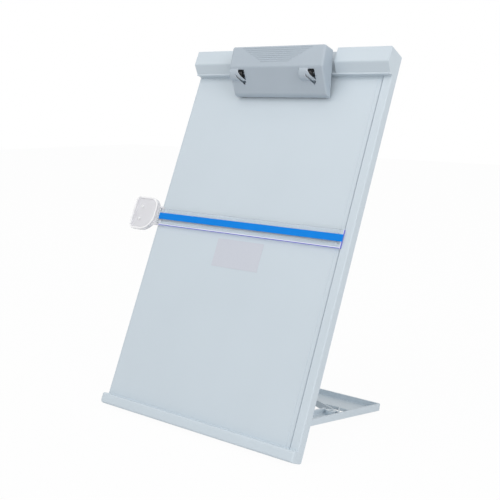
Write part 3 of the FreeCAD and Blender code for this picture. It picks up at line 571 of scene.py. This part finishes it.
boardShape = {
    "round": 0.4, "steps": 6,
    "cuts": [(axes["out"], boardAt["cut"], lambda *ends: edgeAt(ends, across="ledgeEnd") and
              runOf(ends, "up") < boardAt["still"])],
    "rounds": [
        # the ledge's two ends, then its long front edges
        (4.5, lambda *ends: edgeAt(ends, out="ledgeFront") and abs(ends[0][0]) > boardAt["sides"] and
         runOf(ends, "across") < boardAt["still"] and ends[0][1] < boardAt["overLedge"]),
        (2.6, lambda *ends: edgeAt(ends, out="ledgeFront", up="ledgeTop")),
        (2.2, lambda *ends: edgeAt(ends, out="ledgeFront", up="foot")),
        # the ledge's left end, seen from the front
        (4.2, lambda *ends: edgeAt(ends, across="ledgeEnd") and runOf(ends, "out") > boardAt["deep"]),
        # the board's left edge
        (2.2, lambda *ends: edgeAt(ends, across="left", out="leftEdge") and
         runOf(ends, "up") > boardAt["tall"]),
        # upright corners at the foot and top of the board
        (1.0, lambda *ends: atSides(ends) and edgeAt(ends, up="foot")),
        (1.6, lambda *ends: atSides(ends) and edgeAt(ends, up="top")),
        # rim along the right
        (3.0, lambda *ends: edgeAt(ends, across="right", out="rimFront")),
        (0.8, lambda *ends: edgeAt(ends, across="groove", out="rimFront")),
        # header's ridge, top front edge and ends
        (1.1, lambda *ends: edgeAt(ends, up="ridge", out="ridgeFront")),
        (1.3, lambda *ends: edgeAt(ends, up="top", out="topFront")),
        (0.9, lambda *ends: atSides(ends) and min(end[1] for end in ends) > boardAt["header"]),
    ],
}
board = roundedCopy("backboard", "board_moulding", boardShape)
finishPiece(board, boardPlastic, "board", ["backboard"])
print("board rounded:", len(board.data.polygons), "faces")

clipAt = {
    # millimetres up the board and out of it, where the clip's long edges run
    "ridge": (371.0, 29.7), "edge": (393.3, 32.2), "jaw": (349.5, 8.2),
    # its ends lie further across, up and out than this
    "ends": (57.5, 349, 8),
    # mouths of its two spring housings: across, up, least out and least sideways look
    "mouths": ((38, 49), (-48.5, -37)), "mouthUp": (358, 372.5), "mouthOut": 14, "sideways": 0.35,
}


def clipEdge(ends, place):
    up, out = clipAt[place]
    return level(ends, axes["up"], up) and level(ends, axes["out"], out)


def clipEnd(ends):
    across, up, out = clipAt["ends"]
    return all(abs(x) > across and u > up and w > out for x, u, w in ends)


clipShape = {
    "round": 0.3, "steps": 6,
    "rounds": [
        (1.2, lambda *ends: clipEdge(ends, "ridge")),
        (1.6, lambda *ends: clipEdge(ends, "edge")),
        (3.0, lambda *ends: clipEdge(ends, "jaw")),
        (2.8, lambda *ends: clipEnd(ends)),
    ],
}
clip = roundedCopy("clip_body", "clip_moulding", clipShape)


def onLipHighlight(place, normal):
    # Faces that look along the clip inside the mouths of its two spring housings, where the lighter ABS
    # paints a highlight
    inMouth = any(low < place.x < high for low, high in clipAt["mouths"])
    low, high = clipAt["mouthUp"]
    raised = low < place.y < high and place.z > clipAt["mouthOut"]
    return inMouth and raised and normal.x > clipAt["sideways"]


finishPiece(clip, clipPlastic, "clip", ["clip_body"], (lipHighlightPlastic, onLipHighlight))
print("clip rounded:", len(clip.data.polygons), "faces")

ribs = {
    # Fine finger grip on the clip's upper face: the lowest rib is the shortest
    "count": 8, "pitch": 2.05, "longest": 84.6, "shortest": 34.7, "thick": 0.65, "proud": 0.45,
    "aside": -0.6, "lowestUp": 377.0,
    # unevenness of length, and each tube's points along it, sides, width at its ends and taper
    "seed": 7, "least": 0.992, "most": 1.008, "points": 41, "sides": 10, "tip": 0.25, "taper": 0.04,
}


def addSocket(tree, name, kind, value=None):
    socket = tree.interface.new_socket(name, in_out="INPUT", socket_type=kind)
    if value is not None:
        socket.default_value = value
    return socket.identifier


def makeRibs():
    tree = bpy.data.node_groups.new("gripRibs", "GeometryNodeTree")
    tree.is_modifier = True
    inputs = {
        "Count": ("NodeSocketInt", ribs["count"]), "Pitch": ("NodeSocketFloat", ribs["pitch"] * mm),
        "Longest": ("NodeSocketFloat", ribs["longest"] * mm),
        "Shortest": ("NodeSocketFloat", ribs["shortest"] * mm),
        "Thick": ("NodeSocketFloat", ribs["thick"] * mm), "Seed": ("NodeSocketInt", ribs["seed"]),
        "Material": ("NodeSocketMaterial", clipPlastic),
    }
    keys = {name: addSocket(tree, name, kind) for name, (kind, value) in inputs.items()}
    tree.interface.new_socket("Geometry", in_out="OUTPUT", socket_type="NodeSocketGeometry")
    given = addNode(tree, "NodeGroupInput").outputs
    step = addNode(tree, "ShaderNodeCombineXYZ", {"Y": given["Pitch"]})
    rows = addNode(tree, "GeometryNodeMeshLine", {
        "Count": given["Count"], "Offset": step.outputs["Vector"]}, mode="OFFSET")
    # each rib's length runs from the shortest at the bottom to the longest at the top
    row = addNode(tree, "GeometryNodeInputIndex")
    last = addNode(tree, "ShaderNodeMath", {0: given["Count"], 1: 1.0}, operation="SUBTRACT")
    long = addNode(tree, "ShaderNodeMapRange", {
        "Value": row.outputs["Index"], "From Max": last.outputs[0], "To Min": given["Shortest"],
        "To Max": given["Longest"]})
    uneven = addNode(tree, "FunctionNodeRandomValue", {
        "Min": ribs["least"], "Max": ribs["most"], "ID": row.outputs["Index"], "Seed": given["Seed"]})
    cut = addNode(tree, "ShaderNodeMath", {0: long.outputs["Result"], 1: uneven.outputs["Value"]},
                  operation="MULTIPLY")
    stretch = addNode(tree, "ShaderNodeCombineXYZ", {"X": cut.outputs[0], "Y": 1.0, "Z": 1.0})
    # one rib: a line of unit length, swelling from rounded ends
    line = addNode(tree, "GeometryNodeCurvePrimitiveLine", {"Start": (-0.5, 0, 0), "End": (0.5, 0, 0)})
    fine = addNode(tree, "GeometryNodeResampleCurve", {
        "Curve": line.outputs["Curve"], "Count": ribs["points"]})
    along = addNode(tree, "GeometryNodeSplineParameter")
    swell = addNode(tree, "ShaderNodeFloatCurve", {"Value": along.outputs["Factor"]})
    points = swell.mapping.curves[0].points
    points[0].location, points[1].location = (0, ribs["tip"]), (1, ribs["tip"])
    for place in (ribs["taper"], 1 - ribs["taper"]):
        points.new(place, 1.0)
    swell.mapping.update()
    thick = addNode(tree, "GeometryNodeSetCurveRadius", {
        "Curve": fine.outputs["Curve"], "Radius": swell.outputs["Value"]})
    ring = addNode(tree, "GeometryNodeCurvePrimitiveCircle", {
        "Resolution": ribs["sides"], "Radius": given["Thick"]})
    tube = addNode(tree, "GeometryNodeCurveToMesh", {
        "Curve": thick.outputs["Curve"], "Profile Curve": ring.outputs["Curve"], "Fill Caps": True})
    placed = addNode(tree, "GeometryNodeInstanceOnPoints", {
        "Points": rows.outputs["Mesh"], "Instance": tube.outputs["Mesh"],
        "Scale": stretch.outputs["Vector"]})
    real = addNode(tree, "GeometryNodeRealizeInstances", {"Geometry": placed.outputs["Instances"]})
    finished = addNode(tree, "GeometryNodeSetMaterial", {
        "Geometry": real.outputs["Geometry"], "Material": given["Material"]})
    addNode(tree, "NodeGroupOutput", {"Geometry": finished.outputs["Geometry"]})

    piece = newPiece("grip_ribs", bpy.data.meshes.new("grip_ribs"))
    build = piece.modifiers.new("ribs", "NODES")
    build.node_group = tree
    for name, (kind, value) in inputs.items():
        build[keys[name]] = value
    applyModifiers(piece)
    # from the tree's flat rows to the clip's upper face, sunk so that only their crests stand proud
    lowUp, lowOut = clipAt["ridge"]
    highUp, highOut = clipAt["edge"]
    faceWay = Vector((0, highUp - lowUp, highOut - lowOut)).normalized()
    faceOut = Vector((0, -faceWay.z, faceWay.y))
    for corner in piece.data.vertices:
        x, y, z = corner.co / mm
        start = (ribs["lowestUp"] - lowUp) / faceWay.y
        flat = Vector((x + ribs["aside"], lowUp, lowOut)) + faceWay * (start + y)
        flat += faceOut * (z + ribs["proud"] - ribs["thick"])
        corner.co = fromBoard(flat.x, flat.y, flat.z)
    for face in piece.data.polygons:
        face.use_smooth = True
    return piece


gripRibs = makeRibs()
finishPiece(gripRibs, clipPlastic, "clip")
print("grip ribs made:", len(gripRibs.data.polygons), "faces")

# The clip's two springs, copied from the imported solids and shaded smooth
springs = {
    # Places across the board where the leg on the board ends and the leg on the clip begins
    "clip_spring_left": (-43.6, -40.0),
    "clip_spring_right": (39.9, 43.5),
}
for name, (boardLeg, clipLeg) in springs.items():
    coil = mergedCopy(name)
    mesh = bpy.data.meshes.new(name.replace("clip_spring", "wound_spring"))
    coil.to_mesh(mesh)
    coil.free()
    spring = newPiece(mesh.name, mesh)
    for face in mesh.polygons:
        face.use_smooth = True
    mesh.set_sharp_from_angle(angle=math.radians(meshing["wire"]))
    finishPiece(spring, springSteel, stands=[name])
    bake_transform(spring)
print("springs wound")

knobShape = {"round": 0.45, "steps": 3, "sharp": 35}
# The knob rim's painted highlight: furthest right across, least out, and least look out of the board
knobRim = {"across": -124, "out": 3.2, "facing": 0.25}
knob = roundedCopy("slider_front", "slider_knob", knobShape)


def onRimHighlight(place, normal):
    # The crest of the knob's raised rim and the upper half of its rounds, which carry the painted
    # highlight
    raised = place.x < knobRim["across"] and place.z > knobRim["out"]
    return raised and normal.dot(outAxis) > knobRim["facing"]


finishPiece(knob, knobPlastic, "slider", ["slider_front"], (rimHighlightPlastic, onRimHighlight))
grip = roundedCopy("slider_back", "slider_grip", knobShape)
finishPiece(grip, knobPlastic, "slider", ["slider_back"])
rivets = roundedCopy("slider_rivets", "knob_rivets", {"round": 0.3, "steps": 3})
finishPiece(rivets, rivetMetal, "slider", ["slider_rivets"])

strip = roundedCopy("guide_strip", "line_strip", {"round": 0.25, "steps": 3, "sharp": 35})
finishPiece(strip, stripPlastic, "guide", ["guide_strip"])
print("slider and guide made")

standShape = {"round": 0.4, "steps": 4}
stand = roundedCopy("stand_frame", "stand_moulding", standShape)
finishPiece(stand, boardPlastic, "stand", ["stand_frame"])
print("stand rounded:", len(stand.data.polygons), "faces")

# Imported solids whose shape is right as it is
finishes = {
    "blank_label": labelFilm, "blue_line": blueFilm, "guide_hinge_pin": pinSteel,
    "clip_pin_left": pinSteel, "clip_pin_right": pinSteel,
    "stand_hinge_pin_left": pinSteel, "stand_hinge_pin_right": pinSteel,
    "stand_washers_left": pinSteel, "stand_washers_right": pinSteel,
    "jaw_pad": softRubber, "friction_pad": softRubber,
    "stand_foot_left": softRubber, "stand_foot_right": softRubber,
}
for name, material in finishes.items():
    mesh = nodes[name].data
    mesh.materials.clear()
    mesh.materials.append(material)
print("packed nodes finished")

studio = {
    # the floor's two colours, the size of its specks in millimetres and half its side in metres
    "dark": "#E4E5E6", "light": "#E8E9EA", "speck": 300, "half": 4.0,
    # share of plain white that the camera sees, and the room's light from left to right
    "plainWhite": 0.965, "skyDark": 0.48, "skyBright": 0.8,
    # where the lamps point, in metres
    "aim": (0, 0.05, 0.2),
}
softboxes = {
    "topSoftbox": {"place": (-0.35, -0.9, 1.9), "size": 1.6, "power": 11.0},
    "sideSoftbox": {"place": (1.6, -0.8, 1.0), "size": 0.9, "power": 8.2},
}


def whiteRays(tree):
    # Camera, glossy and transmission rays, which see a plain white surround
    rays = addNode(tree, "ShaderNodeLightPath").outputs
    gloss = addNode(tree, "ShaderNodeMath", {0: rays["Is Camera Ray"], 1: rays["Is Glossy Ray"]},
                    operation="MAXIMUM")
    both = addNode(tree, "ShaderNodeMath", {0: gloss.outputs[0], 1: rays["Is Transmission Ray"]},
                   operation="MAXIMUM")
    return both.outputs[0]


def makeFloor():
    half = studio["half"]
    mesh = bpy.data.meshes.new("floor")
    mesh.from_pydata([(-half, -half, 0), (half, -half, 0), (half, half, 0), (-half, half, 0)], [],
                     [(0, 1, 2, 3)])
    floor = newPiece("floor", mesh)
    material, tree, place = startMaterial("paleFloor")
    tint = twoTone(tree, noise(tree, place, studio["speck"]), studio)
    matt = addNode(tree, "ShaderNodeBsdfDiffuse", {"Color": tint})
    white = addNode(tree, "ShaderNodeEmission", {"Color": (1, 1, 1, 1), "Strength": 1.0})
    share = addNode(tree, "ShaderNodeMath", {0: whiteRays(tree), 1: studio["plainWhite"]},
                    operation="MULTIPLY")
    mixed = addNode(tree, "ShaderNodeMixShader", {
        "Fac": share.outputs[0], 1: matt.outputs[0], 2: white.outputs[0]})
    addNode(tree, "ShaderNodeOutputMaterial", {"Surface": mixed.outputs[0]})
    mesh.materials.append(material)


def makeSky():
    world = bpy.data.worlds.new("studioSky")
    world.use_nodes = True
    tree = world.node_tree
    tree.nodes.clear()
    # the room is brighter to the right than to the left
    toward = addNode(tree, "ShaderNodeTexCoord").outputs["Generated"]
    across = addNode(tree, "ShaderNodeSeparateXYZ", {"Vector": toward}).outputs["X"]
    room = addNode(tree, "ShaderNodeMapRange", {
        "Value": across, "From Min": -1.0, "From Max": 1.0, "To Min": studio["skyDark"],
        "To Max": studio["skyBright"]})
    strength = addNode(tree, "ShaderNodeMapRange", {
        "Value": whiteRays(tree), "To Min": room.outputs["Result"], "To Max": 1.0})
    light = addNode(tree, "ShaderNodeBackground", {
        "Color": (1, 1, 1, 1), "Strength": strength.outputs["Result"]})
    addNode(tree, "ShaderNodeOutputWorld", {"Surface": light.outputs["Background"]})
    bpy.context.scene.world = world


def addSoftbox(name, place, size, power):
    lamp = bpy.data.lights.new(name, "AREA")
    lamp.shape = "SQUARE"
    lamp.size = size
    lamp.energy = power
    box = bpy.data.objects.new(name, lamp)
    bpy.context.scene.collection.objects.link(box)
    box.location = place
    box.rotation_euler = (Vector(studio["aim"]) - Vector(place)).to_track_quat("-Z", "Y").to_euler()


makeFloor()
makeSky()
for name, box in softboxes.items():
    addSoftbox(name, **box)

view = {
    # millimetres, degrees, the lens and sensor in millimetres, and the nearest seen in metres
    "place": (484.5, -579.6, 314.8), "turn": 36.185, "rise": 10.099, "roll": 0.909,
    "lens": 58.79, "sensor": 36, "near": 0.01,
}


def addCamera():
    turn, rise, roll = (math.radians(view[key]) for key in ("turn", "rise", "roll"))
    back = Vector((math.sin(turn) * math.cos(rise), -math.cos(turn) * math.cos(rise), math.sin(rise)))
    right = Vector((math.cos(turn), math.sin(turn), 0))
    up = back.cross(right)
    right, up = (right * math.cos(roll) + up * math.sin(roll),
                 up * math.cos(roll) - right * math.sin(roll))
    lens = bpy.data.cameras.new("photoCamera")
    lens.lens = view["lens"]
    lens.sensor_width = view["sensor"]
    lens.clip_start = view["near"]
    camera = bpy.data.objects.new("photoCamera", lens)
    bpy.context.scene.collection.objects.link(camera)
    camera.matrix_world = Matrix.Translation(Vector(view["place"]) * mm) @ Matrix(
        (right, up, back)).transposed().to_4x4()
    bpy.context.scene.camera = camera


addCamera()
bpy.context.scene.view_settings.view_transform = "Standard"
print("floor, light and camera set")
